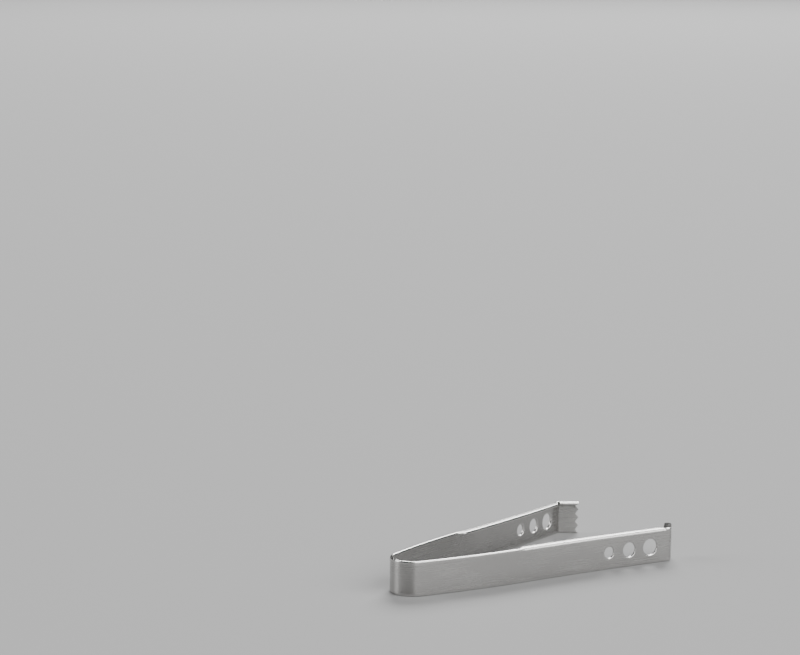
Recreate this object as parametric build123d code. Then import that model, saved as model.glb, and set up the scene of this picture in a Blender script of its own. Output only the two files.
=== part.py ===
from build123d import *
from math import cos, radians, sin, tan
import os

# Stainless steel ice tongs: one springy strip bent into a bow, with a toothed jaw folded in at each end.
#
# The strip stands on its long edge.  +X runs from the bow to the jaws, +Y to the left arm and +Z up across
# the strip's width.  The origin is under the middle of the tongs, at the height of the lower edge.
# Each node is one stretch of the strip.  The arms meet the bow in a rounded nose in a hollow seat, on the
# line about which each arm springs.  All sizes are in millimetres and degrees.

# Driving dimensions of the strip
WIDTH = 19.0                # the strip across, which is the height of the tongs
SHEET = 1.5                 # steel thickness
BOW_RADIUS = 12.0           # outside of the bow
ROOT_SPLAY = 17.0           # how far each arm points outwards where it leaves the bow
WAIST_SPLAY = 8.5           # the same at the middle of the arm
TIP_SPLAY = 13.0            # the same at the jaw
SPRING_LENGTH = 67.5        # from the bow to the middle of the arm
GRIP_LENGTH = 93.5          # from the middle of the arm to the fold

# The jaw at the end of each arm
FOLD_ANGLE = 52.0           # how far the jaw is folded inwards
FOLD_RADIUS = 1.9           # outside of the fold
JAW_LENGTH = 12.2           # from the sharp corner of the fold to the tooth tips
TOOTH_GAPS = 4              # V-shaped gaps along the jaw's edge
TOOTH_DEPTH = 1.9

# The lip turned inwards along the upper edge of the front half
LIP_REACH = 4.5             # from the outer face to the lip's free edge
LIP_START = 60.5            # from the bow
LIP_RAMP = 4.0              # length over which the lip rises out of the flat strip
LIP_GAP = 2.0               # the arm's lip stops this short of the fold, at the outer face
LIP_MITRE = 40.0            # and is cut back by this angle towards its free edge

# Drain holes: distance back from the fold, and radius
DRAIN_HOLES = ((40.5, 3.2), (26.9, 4.1), (12.8, 4.6))
RIM_BEVEL = 0.35            # on both rims of each hole

# The line about which each arm springs
FLEX_FROM_BOW = 14.0
SEAT_CLEARANCE = 0.05       # radial, between the arm's rounded nose and its seat


# The strip seen from above, followed along the outer face from the middle of the bow to the tooth tips of
# the left arm.  Each span is a length and the angle it turns through, positive to the left.
bow_length = BOW_RADIUS * radians(90.0 - ROOT_SPLAY)
fold_length = FOLD_RADIUS * radians(FOLD_ANGLE)
plate_length = JAW_LENGTH - FOLD_RADIUS * tan(radians(FOLD_ANGLE / 2))
SPANS = (
    (bow_length, ROOT_SPLAY - 90.0),
    (SPRING_LENGTH, WAIST_SPLAY - ROOT_SPLAY),
    (GRIP_LENGTH, TIP_SPLAY - WAIST_SPLAY),
    (fold_length, -FOLD_ANGLE),
    (plate_length, 0.0),
)
arm_end = bow_length + SPRING_LENGTH + GRIP_LENGTH
plate_start = arm_end + fold_length
tooth_tip = plate_start + plate_length
flex = bow_length + FLEX_FROM_BOW


def follow(distance):
    """Where the outer face is after this distance from the middle of the bow, and its heading in degrees."""
    x, y, heading = 0.0, 0.0, 90.0
    for length, turn in SPANS:
        part = min(distance, length)
        turned = turn * part / length
        chord = part
        if turned:
            chord = part * sin(radians(turned / 2)) / radians(turned / 2)
        x += chord * cos(radians(heading + turned / 2))
        y += chord * sin(radians(heading + turned / 2))
        heading += turned
        distance -= part
        if distance <= 0:
            break
    return x, y, heading


# Half of the whole length, so that the origin is under the middle of the tongs
tip_x, tip_y, jaw_heading = follow(tooth_tip)
mid_x = tip_x / 2


def at(distance, depth=0.0):
    """A point this far along the left half of the strip and this deep inside its outer face."""
    x, y, heading = follow(distance)
    return (x - mid_x + depth * sin(radians(heading)), y - depth * cos(radians(heading)))


def run(start, end, depth):
    """The edges of the left half between two distances at one depth: an arc or a line for each span."""
    edges = []
    done = 0.0
    for length, turn in SPANS:
        a = max(start, done)
        b = min(end, done + length)
        if b - a > 1e-6 and turn:
            edges.append(ThreePointArc(at(a, depth), at((a + b) / 2, depth), at(b, depth)))
        elif b - a > 1e-6:
            edges.append(Line(at(a, depth), at(b, depth)))
        done += length
    return edges


def slab(outer, inner, deep, low, high):
    """A solid between the outer face over one stretch and a given depth over another, from low to high."""
    edges = run(outer[0], outer[1], 0.0) + run(inner[0], inner[1], deep)
    edges.append(Line(at(outer[0]), at(inner[0], deep)))
    edges.append(Line(at(outer[1]), at(inner[1], deep)))
    face = make_face(Curve() + edges)
    return extrude(Pos(0, 0, low) * face, high - low, dir=(0, 0, 1))


def web(start, end):
    """The flat of the strip over its whole width."""
    return slab((start, end), (start, end), SHEET, 0.0, WIDTH)


def lip(outer, inner):
    """The lip along the upper edge, over one stretch at the outer face and another at its free edge."""
    return slab(outer, inner, LIP_REACH, WIDTH - SHEET, WIDTH)


def post(radius):
    """An upright cylinder on the left arm's flex line, over the strip's whole width."""
    x, y = at(flex, SHEET / 2)
    return Pos(x, y, WIDTH / 2) * Cylinder(radius, WIDTH)


def make_bow():
    """The sprung bend, with the first few millimetres of both arms and the two hollow seats."""
    half = web(0.0, flex) - post(SHEET / 2 + SEAT_CLEARANCE)
    return half + mirror(half, about=Plane.XZ)


def make_arm():
    """The left arm: flat at the back, with a lip along its upper edge at the front, and three drain holes."""
    start = bow_length + LIP_START
    end = arm_end - LIP_GAP
    body = web(flex, arm_end) + post(SHEET / 2)
    body += lip((start, end), (start + LIP_RAMP, end - LIP_REACH * tan(radians(LIP_MITRE))))
    for back, radius in DRAIN_HOLES:
        body -= drill(arm_end - back, radius)
    return body


def drill(distance, radius):
    """The cutter for one drain hole: a cylinder through the web, bevelled at both faces."""
    x, y = at(distance, SHEET / 2)
    heading = follow(distance)[2]
    outwards = Vector(-sin(radians(heading)), cos(radians(heading)), 0)
    through = Plane(origin=(x, y, WIDTH / 2), z_dir=outwards)
    cutter = through * Cylinder(radius, 3 * SHEET)
    wide = radius + 2 * RIM_BEVEL
    cutter += through * Pos(0, 0, SHEET / 2) * Cone(radius, wide, 2 * RIM_BEVEL)
    cutter += through * Pos(0, 0, -SHEET / 2) * Cone(wide, radius, 2 * RIM_BEVEL)
    return cutter


def make_jaw():
    """The left jaw: the fold, the plate with its lip, and the row of teeth along its edge."""
    body = web(arm_end, tooth_tip) + lip((plate_start, tooth_tip), (plate_start, tooth_tip))
    pitch = WIDTH / TOOTH_GAPS
    x, y = at(tooth_tip)
    along = Vector(cos(radians(jaw_heading)), sin(radians(jaw_heading)), 0)
    edge_on = Plane(origin=(x, y, 0), x_dir=along, z_dir=along.cross(Vector(0, 0, 1)))
    for i in range(TOOTH_GAPS):
        middle = pitch * (i + 0.5)
        notch = make_face(Polyline(
            (0.01, middle - pitch / 2), (-TOOTH_DEPTH, middle), (0.01, middle + pitch / 2), close=True))
        body -= extrude(edge_on * notch, 2 * LIP_REACH, both=True)
    return body


os.makedirs("parts", exist_ok=True)
arm = make_arm()
jaw = make_jaw()
NODES = {
    "spring_bow": make_bow(),
    "left_arm": arm,
    "right_arm": mirror(arm, about=Plane.XZ),
    "left_jaw": jaw,
    "right_jaw": mirror(jaw, about=Plane.XZ),
}
for name, shape in NODES.items():
    export_step(shape, "parts/" + name + ".step")
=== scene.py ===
from math import atan2, cos, hypot, pi, radians, sin, tan

import bmesh
import bpy
from mathutils import Euler, Matrix, Vector


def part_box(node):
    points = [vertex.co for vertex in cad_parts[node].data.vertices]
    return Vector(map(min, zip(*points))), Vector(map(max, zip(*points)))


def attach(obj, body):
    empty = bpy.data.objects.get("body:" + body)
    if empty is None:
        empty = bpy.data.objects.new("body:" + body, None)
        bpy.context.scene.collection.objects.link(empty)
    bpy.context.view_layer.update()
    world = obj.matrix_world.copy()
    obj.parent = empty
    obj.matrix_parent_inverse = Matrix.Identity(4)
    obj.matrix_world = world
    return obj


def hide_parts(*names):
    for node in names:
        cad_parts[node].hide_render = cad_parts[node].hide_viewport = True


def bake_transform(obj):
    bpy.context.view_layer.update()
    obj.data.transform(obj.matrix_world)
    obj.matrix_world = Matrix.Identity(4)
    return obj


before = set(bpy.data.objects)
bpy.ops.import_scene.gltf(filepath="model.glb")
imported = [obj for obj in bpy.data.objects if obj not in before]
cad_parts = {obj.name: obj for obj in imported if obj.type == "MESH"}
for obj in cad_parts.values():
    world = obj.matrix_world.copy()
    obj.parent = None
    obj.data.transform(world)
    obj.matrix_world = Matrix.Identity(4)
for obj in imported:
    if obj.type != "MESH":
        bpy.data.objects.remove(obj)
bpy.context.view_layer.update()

# ---------------------------------------------------------------------------------------------------------
# Camera: a long lens, a little above the table.  It looks past the tongs, so that they lie low and to the
# right in the view, with the bow at the left and the jaws pointing right and away.
# ---------------------------------------------------------------------------------------------------------
STAND_BACK = 1.299          # metres from the lens to the back of the bow, along the table
STAND_HIGH = 0.344          # metres from the table up to the lens
VIEW_TURN = 42.32           # degrees from the camera's right to the tongs' own +X
LOOK_DOWN = 8.81            # degrees below level
ROLL = 0.59                 # degrees that the camera's right side is tilted up
BOW_SIDEWAYS = -0.001       # metres from the view's middle line to the back of the bow
LENS = 114.1                # millimetres on the default 36 mm sensor

bow_back = Vector((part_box("spring_bow")[0].x, 0.0, 0.0))
view_ahead = Vector((sin(radians(VIEW_TURN)), cos(radians(VIEW_TURN)), 0.0))
view_right = Vector((view_ahead.y, -view_ahead.x, 0.0))
camera = bpy.data.objects.new("camera", bpy.data.cameras.new("camera"))
camera.data.lens = LENS
camera.location = bow_back - view_ahead * STAND_BACK - view_right * BOW_SIDEWAYS + Vector((0, 0, STAND_HIGH))
unrolled = Euler((radians(90.0 - LOOK_DOWN), 0.0, radians(-VIEW_TURN))).to_matrix()
camera.rotation_euler = (unrolled @ Matrix.Rotation(radians(ROLL), 3, "Z")).to_euler()
bpy.context.scene.collection.objects.link(camera)
bpy.context.scene.camera = camera

# ---------------------------------------------------------------------------------------------------------
# Bow: the closed end and spring of the tongs, which are one strip of stainless sheet, brushed lengthwise and
# tumbled to round its cut edges.  The bow is bent cold round a mandrel.  It is made here as two halves that
# meet at the back.
# ---------------------------------------------------------------------------------------------------------
MM = 0.001
WIDTH = 19.0
SHEET = 1.5
BOW_RADIUS = 12.0           # of the outer face
ROOT_SPLAY = 17.0           # degrees that each arm points outwards where it leaves the bow
WAIST_SPLAY = 8.5           # the same at the middle of the arm
SPRING_LENGTH = 67.5        # from the bow to the middle of the arm
FLEX_FROM_BOW = 14.0        # where the bow's piece ends and the arm's begins
EDGE_ROUND = 0.7            # radius of a cut edge
ROUND_STEPS = 5             # mesh steps over each rounded edge
WEB_SPAN = 7.5              # the flat between the edges, above and below the middle of the strip
SIDES = {"left": 1, "right": -1}

# The strip's line seen from above: lengths along the outer face from the back of the bow, and the degrees
# that each turns through.  The arms and jaws carry it on.
bow_length = BOW_RADIUS * radians(90.0 - ROOT_SPLAY)
flex = bow_length + FLEX_FROM_BOW
SPANS = [(bow_length, ROOT_SPLAY - 90.0), (SPRING_LENGTH, WAIST_SPLAY - ROOT_SPLAY)]


def follow(distance):
    """Where the outer face is after this distance from the back of the bow, and its heading in degrees."""
    x, y, heading = 0.0, 0.0, 90.0
    for length, turn in SPANS:
        part = min(distance, length)
        turned = turn * part / length
        chord = part
        if turned:
            chord = part * sin(radians(turned / 2)) / radians(turned / 2)
        x += chord * cos(radians(heading + turned / 2))
        y += chord * sin(radians(heading + turned / 2))
        heading += turned
        distance -= part
        if distance <= 0:
            break
    return x, y, heading


def place(distance, depth, height, side):
    """The place of a spot on the strip: how far along it, how deep in from its outer face, and how high."""
    x, y, heading = follow(distance)
    x += depth * sin(radians(heading))
    y -= depth * cos(radians(heading))
    return Vector((bow_back.x + x * MM, side * y * MM, height * MM))


def arc(depth, height, radius, start, end, cut):
    """A rounded corner of the strip's section, as depths, heights and whether it is a cut edge."""
    points = []
    for i in range(ROUND_STEPS + 1):
        angle = radians(start + (end - start) * i / ROUND_STEPS)
        points.append((depth + radius * cos(angle), height + radius * sin(angle), cut))
    return points


def between(a, b, count):
    """Evenly spaced points strictly between two."""
    steps = [i / (count + 1) for i in range(1, count + 1)]
    return [tuple(p + (q - p) * t for p, q in zip(a, b)) for t in steps]


def flat_edge(thin=0.0):
    """The upper edge of the flat strip, from the outer face over to the inner one.  thin shrinks it."""
    far = SHEET - EDGE_ROUND
    points = arc(EDGE_ROUND, WIDTH - EDGE_ROUND, EDGE_ROUND - thin, 180, 90, 1.0)
    return points + arc(far, WIDTH - EDGE_ROUND, EDGE_ROUND - thin, 90, 0, 1.0)


def ring(distance, levels, upper, thin=0.0, lean=0.0):
    """One section of the strip as spots, each with how far round the section it is, closed on itself.
    levels are the heights of the spots on both faces, upper is its upper edge, and lean sets its deeper
    spots back."""
    outer = [(thin, height, 0.0) for height in levels]
    inner = [(SHEET - thin, height, 0.0) for height in reversed(levels)]
    lower = [(depth, WIDTH - height, cut) for depth, height, cut in reversed(flat_edge(thin))]
    spots = []
    around = levels[0]
    last = outer[0]
    for depth, height, cut in outer + upper + inner + lower + outer[:1]:
        around += hypot(depth - last[0], height - last[1])
        spots.append(((distance - lean * depth, depth, height, cut), around))
        last = (depth, height)
    return spots


def skin(rings):
    """The faces between each ring and the next.  Each corner is a spot with its place in the grain map."""
    faces = []
    for a, b in zip(rings, rings[1:]):
        for i in range(len(a) - 1):
            corners = (a[i], a[i + 1], b[i + 1], b[i])
            faces.append([(spot, (around, spot[0])) for spot, around in corners])
    return faces


def cap(one_ring):
    """The face that closes the end of a piece where the next piece carries the strip on."""
    return [(spot, (spot[2], spot[1])) for spot, around in one_ring[:-1]]


def stations(start, end, step):
    """Evenly spaced distances from start to end, no further apart than a step."""
    count = max(1, int((end - start) / step + 0.999))
    return [start + (end - start) * i / count for i in range(count + 1)]


def make_piece(name, side, faces):
    """A closed mesh from faces, with the grain map in millimetres and its tumbled edges marked for their
    lower roughness and their painted highlight.
    """
    mesh = bpy.data.meshes.new(name)
    bm = bmesh.new()
    grain = bm.loops.layers.uv.new("grain")
    # tumbled marks the cut edges: they are smoother in the steel and also get a painted highlight colour.
    tumbled = bm.verts.layers.float.new("tumbled")
    made = {}
    for face in faces:
        corners = {}
        for (distance, depth, height, cut), spread in face:
            key = (round(distance, 4), round(depth, 4), round(height, 4))
            corners.setdefault(key, spread)
            if key not in made:
                made[key] = bm.verts.new(place(distance, depth, height, side))
            made[key][tumbled] = max(made[key][tumbled], cut)
        if len(corners) > 2:
            patch = bm.faces.new([made[key] for key in corners])
            patch.smooth = True
            for loop, spread in zip(patch.loops, corners.values()):
                loop[grain].uv = spread
    bmesh.ops.recalc_face_normals(bm, faces=bm.faces)
    bm.to_mesh(mesh)
    bm.free()
    mesh.set_sharp_from_angle(angle=radians(35.0))
    mesh.materials.append(steel)
    piece = bpy.data.objects.new(name, mesh)
    bpy.context.scene.collection.objects.link(piece)
    return piece


def linear(code):
    """An sRGB hex colour as linear red, green, blue and alpha."""
    parts = [int(code[i:i + 2], 16) / 255 for i in (1, 3, 5)]
    return tuple(c / 12.92 if c <= 0.04045 else ((c + 0.055) / 1.055) ** 2.4 for c in parts) + (1.0,)


def add(tree, kind, inputs=(), **settings):
    """A new node with its settings, and each of its inputs set to a value or linked from a socket."""
    node = tree.nodes.new(kind)
    for name, value in settings.items():
        setattr(node, name, value)
    for name, value in dict(inputs).items():
        if isinstance(value, bpy.types.NodeSocket):
            tree.links.new(value, node.inputs[name])
        else:
            node.inputs[name].default_value = value
    return node


# Brushed stainless steel: a satin grey whose reflections are sharp along the strip and drawn out across it,
# because the belt's scratches run lengthwise.  The tumbled edges are smoother, and their colour is also
# painted lighter, a painted highlight that makes them show as bright lines.
steel = bpy.data.materials.new("brushed_stainless_steel")
steel.use_nodes = True
tree = steel.node_tree
tree.nodes.clear()
grain_map = add(tree, "ShaderNodeUVMap", uv_map="grain")
# Grit lines are about 0.05 mm wide, too fine to show, so they are drawn 0.25 mm wide and 25 mm long.
drawn_out = add(tree, "ShaderNodeMapping", {"Vector": grain_map.outputs["UV"], "Scale": (4.0, 0.04, 1.0)})
lines = add(tree, "ShaderNodeTexNoise", {
    "Vector": drawn_out.outputs["Vector"], "Scale": 1.0, "Detail": 5.0, "Roughness": 0.65})
# The belt's uneven pressure, in patches about 12 mm across and 40 mm long.
broad = add(tree, "ShaderNodeMapping", {"Vector": grain_map.outputs["UV"], "Scale": (0.08, 0.025, 1.0)})
pressure = add(tree, "ShaderNodeTexNoise", {
    "Vector": broad.outputs["Vector"], "Scale": 1.0, "Detail": 2.0, "Roughness": 0.5})
wear = add(tree, "ShaderNodeMath", {0: lines.outputs["Fac"], 1: pressure.outputs["Fac"]}, operation="ADD")
face_rough = add(tree, "ShaderNodeMapRange", {
    "Value": wear.outputs[0], "From Min": 0.6, "From Max": 1.4, "To Min": 0.22, "To Max": 0.31})
edges = add(tree, "ShaderNodeAttribute", attribute_name="tumbled")
rough = add(tree, "ShaderNodeMix", {
    "Factor": edges.outputs["Fac"], 2: face_rough.outputs["Result"], 3: 0.2}, data_type="FLOAT")
tone = add(tree, "ShaderNodeMix", {
    "Factor": lines.outputs["Fac"], 6: linear("#a6a5a3"), 7: linear("#bab9b7")}, data_type="RGBA")
# Cut edges get a lighter colour: a painted highlight along every edge, hole rim and tooth, on top of their
# real lower roughness.
colour = add(tree, "ShaderNodeMix", {
    "Factor": edges.outputs["Fac"], 6: tone.outputs[2], 7: linear("#c8c7c5")}, data_type="RGBA")
scratches = add(tree, "ShaderNodeBump", {
    "Height": lines.outputs["Fac"], "Strength": 0.05, "Distance": 0.0001})
across = add(tree, "ShaderNodeTangent", direction_type="UV_MAP", uv_map="grain")
metal = add(tree, "ShaderNodeBsdfPrincipled", {
    "Base Color": colour.outputs[2], "Metallic": 1.0, "Roughness": rough.outputs[0],
    "Anisotropic": 0.9, "Tangent": across.outputs["Tangent"], "Normal": scratches.outputs["Normal"]})
add(tree, "ShaderNodeOutputMaterial", {"Surface": metal.outputs["BSDF"]})


def spring(piece, word):
    """Bakes the piece's placing into its mesh.  The strip's heading and middle where the bend stops are
    worked out but not used, so the piece does not turn.
    """
    heading = follow(flex)[2]
    line = place(flex, SHEET / 2, 0.0, SIDES[word])
    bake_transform(piece)


WEB_STEPS = 8               # mesh steps from the middle of the strip to either edge
BEND_STEP = 0.3             # greatest distance between rings round the bow
FLAT_STEP = 1.0             # and where the strip is nearly straight
web_levels = [WIDTH / 2 + WEB_SPAN * i / WEB_STEPS for i in range(-WEB_STEPS, WEB_STEPS + 1)]
UNDER_EDGE = 18             # spots down the inner face, where a lip can rise out of it
UNDER_REACH = SHEET + 0.4   # how far down from the upper edge they go


def flat_top(thin=0.0):
    """The flat strip's upper edge, carried down the inner face with as many spots as a lip has."""
    points = flat_edge(thin)
    low = (SHEET - thin, WIDTH - UNDER_REACH, 0.0)
    return points + between(points[-1][:2] + (0.0,), low, UNDER_EDGE - 1) + [low]


for word, side in SIDES.items():
    cuts = stations(0.0, bow_length, BEND_STEP) + stations(bow_length, flex, FLAT_STEP)[1:]
    rings = [ring(distance, web_levels, flat_top()) for distance in cuts]
    half = make_piece("bow_" + word + "_half", side, skin(rings) + [cap(rings[0]), cap(rings[-1])])
    spring(half, word)
    if word == "left":
        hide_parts("spring_bow")

# ---------------------------------------------------------------------------------------------------------
# Arms: the rear half of each is flat and springy.  The front half is stiffened by a narrow lip pressed
# inwards along its upper edge, and pierced with three round drain holes that grow towards the jaw.
# ---------------------------------------------------------------------------------------------------------
GRIP_LENGTH = 93.5
TIP_SPLAY = 13.0
LIP_REACH = 4.5             # from the outer face to the lip's free edge
LIP_START = 60.5            # from the bow
LIP_RAMP = 4.0              # over which it rises out of the flat
LIP_GAP = 2.0               # it stops this short of the fold
LIP_MITRE = 40.0
BEND_ROUND = 1.5            # outside of the bend between the arm and its lip
FREE_ROUND = 0.9            # upper side of the lip's free edge
INSIDE_ROUND = 0.4          # its lower side, and the inside of the bend
DRAIN_HOLES = ((40.5, 3.2), (26.9, 4.1), (12.8, 4.6))       # back from the fold, and radius
HOLE_ROUND = 0.45           # the tumbled rim of each hole
PATCH = 6.3                 # half the length of the web around each hole
TOWARDS_RIM = (0.0, 0.3, 0.6, 0.85, 1.0)    # where the mesh has spots between the patch's edge and the rim
ARM_STEP = 1.5              # greatest distance between rings along the arm
RAMP_STEP = 0.25            # over the lip's rise
MITRE_STEP = 0.9            # up to its mitred end
TAIL_STEP = 0.7             # and in the gap before the fold
JOIN = 0.02                 # between the last ring with a lip and the first without one, or the reverse

SPANS.append((GRIP_LENGTH, TIP_SPLAY - WAIST_SPLAY))
arm_end = bow_length + SPRING_LENGTH + GRIP_LENGTH
lip_from = bow_length + LIP_START
lip_to = arm_end - LIP_GAP
hole_places = [(arm_end - back, radius) for back, radius in DRAIN_HOLES]


def lip_top(risen=1.0, thin=0.0):
    """The upper edge with its lip, from the outer face to the inner one.  risen is 0 where it is flat."""
    under = WIDTH - SHEET
    points = arc(BEND_ROUND, WIDTH - BEND_ROUND, BEND_ROUND - thin, 180, 90, 0.0)
    edge = arc(LIP_REACH - FREE_ROUND, WIDTH - FREE_ROUND, FREE_ROUND - thin, 90, 0, 1.0)
    edge += arc(LIP_REACH - INSIDE_ROUND, under + INSIDE_ROUND, INSIDE_ROUND - thin, 0, -90, 1.0)
    root = arc(SHEET + INSIDE_ROUND, under - INSIDE_ROUND, INSIDE_ROUND + thin, 90, 180, 0.0)
    points += between(points[-1], edge[0], 3) + edge + between(edge[-1], root[0], 3) + root
    return [tuple(p + (q - p) * risen for p, q in zip(a, b)) for a, b in zip(flat_top(thin), points)]


def risen_at(distance):
    """How far the lip has risen out of the flat: an even S over the ramp."""
    t = min(max((distance - lip_from) / LIP_RAMP, 0.0), 1.0)
    return t * t * (3 - 2 * t)


def open_up(faces):
    """The faces left when a patch of web is taken out around each hole, on both sides of the sheet."""
    kept = []
    for face in faces:
        distance, depth, height = (sum(spot[k] for spot, spread in face) / len(face) for k in range(3))
        on_web = min(abs(depth), abs(depth - SHEET)) < 1e-6 and abs(height - WIDTH / 2) < WEB_SPAN
        if not (on_web and any(abs(distance - middle) < PATCH for middle, radius in hole_places)):
            kept.append(face)
    return kept


def hole(middle, radius, far_side):
    """The patch of web around one drain hole, with the hole's rounded rims and its wall.  far_side is how
    far round the section the inner face is, at no height."""
    n = WEB_STEPS
    edge = [(i, -n) for i in range(-n, n)] + [(n, i) for i in range(-n, n)]
    edge += [(-i, n) for i in range(-n, n)] + [(-n, -i) for i in range(-n, n + 1)]
    faces = []
    last = None
    for step, (i, j) in enumerate(edge):
        along, up = PATCH * i / n, WEB_SPAN * j / n
        angle = atan2(up, along)
        rim = (radius + HOLE_ROUND) * cos(angle), (radius + HOLE_ROUND) * sin(angle)
        web = []
        for t in TOWARDS_RIM:
            web.append((middle + along + (rim[0] - along) * t, WIDTH / 2 + up + (rim[1] - up) * t))
        wall = []
        for k in range(ROUND_STEPS + 1):
            bend = radians(90.0 * k / ROUND_STEPS)
            r = radius + HOLE_ROUND * (1 - sin(bend))
            depth = HOLE_ROUND * (1 - cos(bend))
            wall.append((middle + r * cos(angle), depth, WIDTH / 2 + r * sin(angle), 1.0))
        wall += [(distance, SHEET - depth, height, cut) for distance, depth, height, cut in reversed(wall)]
        outer = [((x, 0.0, z, 0.0), (z, x)) for x, z in web]
        inner = [((x, SHEET, z, 0.0), (far_side - z, x)) for x, z in web]
        round_wall = radius * 2 * pi * step / (len(edge) - 1)
        bored = [(spot, (round_wall, HOLE_ROUND * k / 2)) for k, spot in enumerate(wall)]
        for now, before in zip((outer, inner, bored), last or ()):
            for k in range(len(now) - 1):
                faces.append([before[k], before[k + 1], now[k + 1], now[k]])
        last = (outer, inner, bored)
    return faces


arm_cuts = stations(flex, lip_from, ARM_STEP) + stations(lip_from, lip_from + LIP_RAMP, RAMP_STEP)[1:]
for middle, radius in hole_places:
    arm_cuts += stations(arm_cuts[-1], middle - PATCH, ARM_STEP)[1:]
    arm_cuts += [middle + PATCH * i / WEB_STEPS for i in range(1 - WEB_STEPS, WEB_STEPS + 1)]

for word, side in SIDES.items():
    rings = [ring(distance, web_levels, lip_top(risen_at(distance))) for distance in arm_cuts]
    on_inner = [pair for pair in rings[-1] if pair[0][1] == SHEET and pair[0][2] <= web_levels[-1]]
    far_side = on_inner[0][1] + on_inner[0][0][2]
    for distance in stations(arm_cuts[-1], lip_to, MITRE_STEP)[1:]:
        lean = tan(radians(LIP_MITRE)) * (distance - arm_cuts[-1]) / (lip_to - arm_cuts[-1])
        rings.append(ring(distance, web_levels, lip_top(), lean=lean))
    for distance in stations(lip_to + JOIN, arm_end, TAIL_STEP):
        rings.append(ring(distance, web_levels, flat_top()))
    faces = open_up(skin(rings)) + [cap(rings[0]), cap(rings[-1])]
    for middle, radius in hole_places:
        faces += hole(middle, radius, far_side)
    arm = make_piece("arm_" + word, side, faces)
    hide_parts(word + "_arm")
    spring(arm, word)

# ---------------------------------------------------------------------------------------------------------
# Jaws: the end of each arm, folded inwards over a tight radius, with its own short lip and a row of teeth
# notched into its edge to bite into the ice.
# ---------------------------------------------------------------------------------------------------------
FOLD_ANGLE = 52.0
FOLD_RADIUS = 1.9           # of the outer face
JAW_LENGTH = 12.2           # from the sharp corner of the fold to the tooth tips
TOOTH_GAPS = 4
TOOTH_DEPTH = 1.9
TOOTH_ROOT = 3.2            # how far back from the tips the mesh follows the teeth
END_ROUND = 0.2             # the tumbled edge of the teeth
ROOT_ROUND = 0.08           # of half a tooth's pitch, where the V's bottom is worn round
FOLD_STEP = 0.12            # greatest distance between rings round the fold
PLATE_STEP = 1.0            # and along the plate

fold_length = FOLD_RADIUS * radians(FOLD_ANGLE)
plate_length = JAW_LENGTH - FOLD_RADIUS * tan(radians(FOLD_ANGLE / 2))
SPANS += [(fold_length, -FOLD_ANGLE), (plate_length, 0.0)]
plate_start = arm_end + fold_length
tooth_tip = plate_start + plate_length
pitch = WIDTH / TOOTH_GAPS
jaw_levels = [pitch * i / 12 for i in range(5, 44)]         # twelve to a tooth, between the rounded edges


def gap_at(height):
    """How deep the V between two teeth is at this height: under 0.1 mm at a tip, with a round root."""
    t = abs((height / pitch) % 1.0 - 0.5) * 2.0
    return TOOTH_DEPTH * (1.0 - hypot(t, ROOT_ROUND) + ROOT_ROUND / 2 * t)


def toothed(one_ring, share):
    """The same ring with each spot set back by a share of the gap between teeth at its height."""
    return [((d - share * gap_at(height), depth, height, cut), around)
            for (d, depth, height, cut), around in one_ring]


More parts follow.
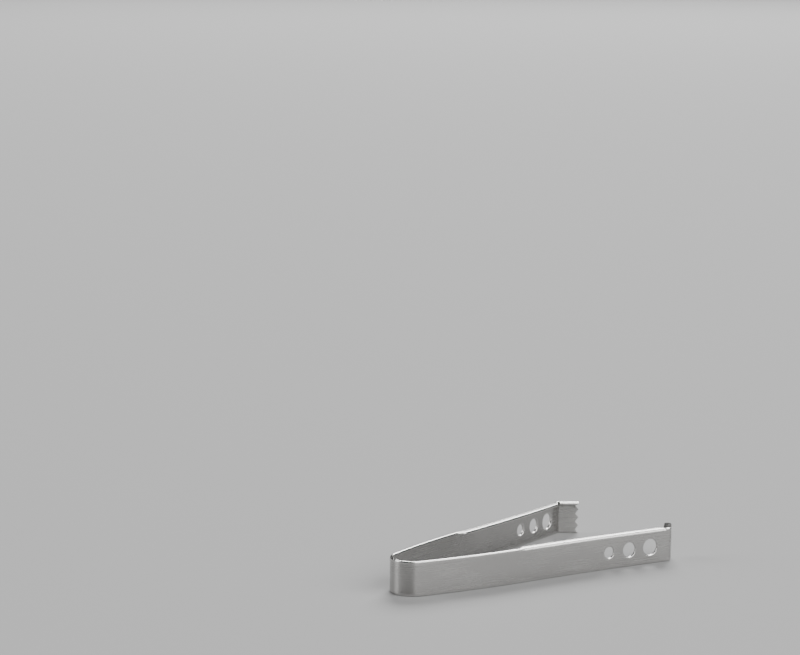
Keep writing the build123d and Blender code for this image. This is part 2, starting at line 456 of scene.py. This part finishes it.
for word, side in SIDES.items():
    notched = tooth_tip - TOOTH_ROOT
    rings = [ring(distance, jaw_levels, flat_top()) for distance in stations(arm_end, plate_start, FOLD_STEP)]
    for distance in stations(plate_start + JOIN, notched, PLATE_STEP):
        rings.append(ring(distance, jaw_levels, lip_top()))
    # The V's deepen over four rings, and three more go round the tumbled end.
    for share in (0.25, 0.5, 0.75, 1.0):
        distance = notched + (TOOTH_ROOT - END_ROUND) * share
        rings.append(toothed(ring(distance, jaw_levels, lip_top()), share))
    for turn in (30, 60, 90):
        thin = END_ROUND * (1 - cos(radians(turn)))
        distance = tooth_tip - END_ROUND * (1 - sin(radians(turn)))
        rings.append(toothed(ring(distance, jaw_levels, lip_top(thin=thin), thin=thin), 1.0))
    end = cap(rings[-1])
    count = len(jaw_levels)
    top = len(lip_top())
    outer, upper = end[:count], end[count:count + top]
    inner, lower = end[count + top:2 * count + top], end[2 * count + top:]
    inner.reverse()
    faces = skin(rings) + [cap(rings[0]), [outer[-1]] + upper + [inner[-1]], [inner[0]] + lower + [outer[0]]]
    faces += [[outer[i], outer[i + 1], inner[i + 1], inner[i]] for i in range(count - 1)]
    jaw = make_piece("jaw_" + word, side, faces)
    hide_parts(word + "_jaw")
    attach(jaw, word + "_arm")

# ---------------------------------------------------------------------------------------------------------
# Studio: a wide table top of matt light grey laminate, and three large soft panels.  One hangs high behind
# the tongs and lights their upper edges, one stands to their left and one to their right.
# ---------------------------------------------------------------------------------------------------------
TABLE_REACH = 40.0          # metres each way
table = bpy.data.objects.new("table", bpy.data.meshes.new("table"))
table_top = bmesh.new()
bmesh.ops.create_grid(table_top, x_segments=1, y_segments=1, size=TABLE_REACH)
table_top.to_mesh(table.data)
table_top.free()
bpy.context.scene.collection.objects.link(table)
paint = bpy.data.materials.new("light_grey_matt_laminate")
paint.use_nodes = True
paint.node_tree.nodes.clear()
matt = add(paint.node_tree, "ShaderNodeBsdfPrincipled", {"Base Color": linear("#929292"), "Roughness": 0.9})
add(paint.node_tree, "ShaderNodeOutputMaterial", {"Surface": matt.outputs["BSDF"]})
table.data.materials.append(paint)

world = bpy.data.worlds.new("studio")
world.use_nodes = True
world.node_tree.nodes["Background"].inputs["Color"].default_value = linear("#c8c8c8")
world.node_tree.nodes["Background"].inputs["Strength"].default_value = 0.1
bpy.context.scene.world = world

PANELS_AWAY = 15.0          # metres from the tongs, so that the table is lit evenly


def panel(name, turn, rise, width, height, power):
    """A soft light panel that faces the tongs, with its size in metres and its power in watts.  turn is in
    degrees from straight behind them round to the right, and rise in degrees above the table."""
    light = bpy.data.lights.new(name, "AREA")
    light.shape = "RECTANGLE"
    light.size = width
    light.size_y = height
    light.energy = power
    lamp = bpy.data.objects.new(name, light)
    level = view_ahead * cos(radians(turn)) + view_right * sin(radians(turn))
    out = level * cos(radians(rise)) + Vector((0, 0, sin(radians(rise))))
    lamp.location = out * PANELS_AWAY
    lamp.rotation_euler = (-out).to_track_quat("-Z", "Y").to_euler()
    bpy.context.scene.collection.objects.link(lamp)


panel("high_back_panel", turn=9, rise=39, width=8.0, height=8.4, power=3500)
panel("left_panel", turn=-92, rise=24, width=6.5, height=9.6, power=1200)
panel("right_panel", turn=131, rise=38, width=20.5, height=11.0, power=4100)
